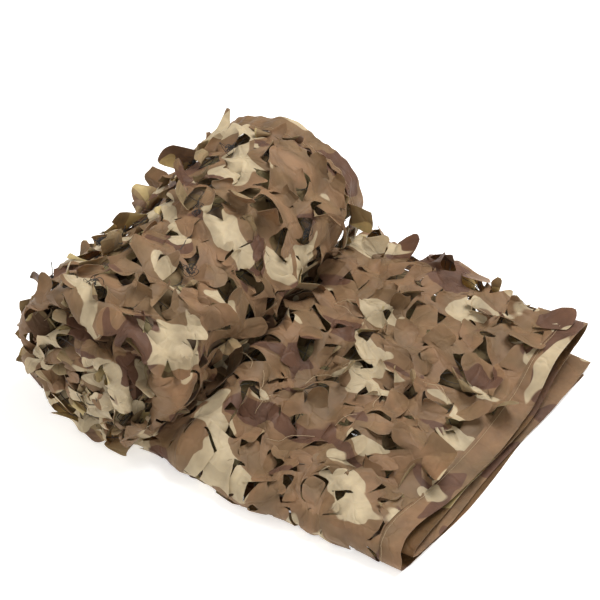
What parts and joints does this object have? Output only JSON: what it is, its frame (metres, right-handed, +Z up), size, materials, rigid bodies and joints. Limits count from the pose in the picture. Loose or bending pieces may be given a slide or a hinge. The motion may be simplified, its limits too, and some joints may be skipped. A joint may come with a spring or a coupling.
{
  "type": "rolled camouflage netting",
  "caption": "Cut-leaf camouflage netting with bound edges, folded lengthwise into a strip and rolled up, its last stretch lying flat.",
  "frame": {"origin": "on the floor, under the axis of the roll and half way along it", "axes": "+X along the flat tail from the roll to its bound end, +Y along the roll's axis to the side with the netting's two long edges, +Z up"},
  "size_m": [0.6818, 0.5641, 0.2664],
  "materials": {
    "camouflage_cloth": "matte woven polyester printed in brown, sand and purple-brown",
    "camouflage_tape": "matte woven polyester strip, folded over the edge and sewn",
    "black_cord": "matte twisted cord"
  },
  "bodies": {
    "root": {"roll": "camouflage_cloth", "tail": "camouflage_cloth", "end_binding": "camouflage_tape", "side_binding_lower": "camouflage_tape", "side_binding_inner": "camouflage_tape", "roll_binding": "camouflage_tape", "tie_1": "black_cord", "tie_2": "black_cord", "tie_3": "black_cord"}
  },
  "joints": []
}
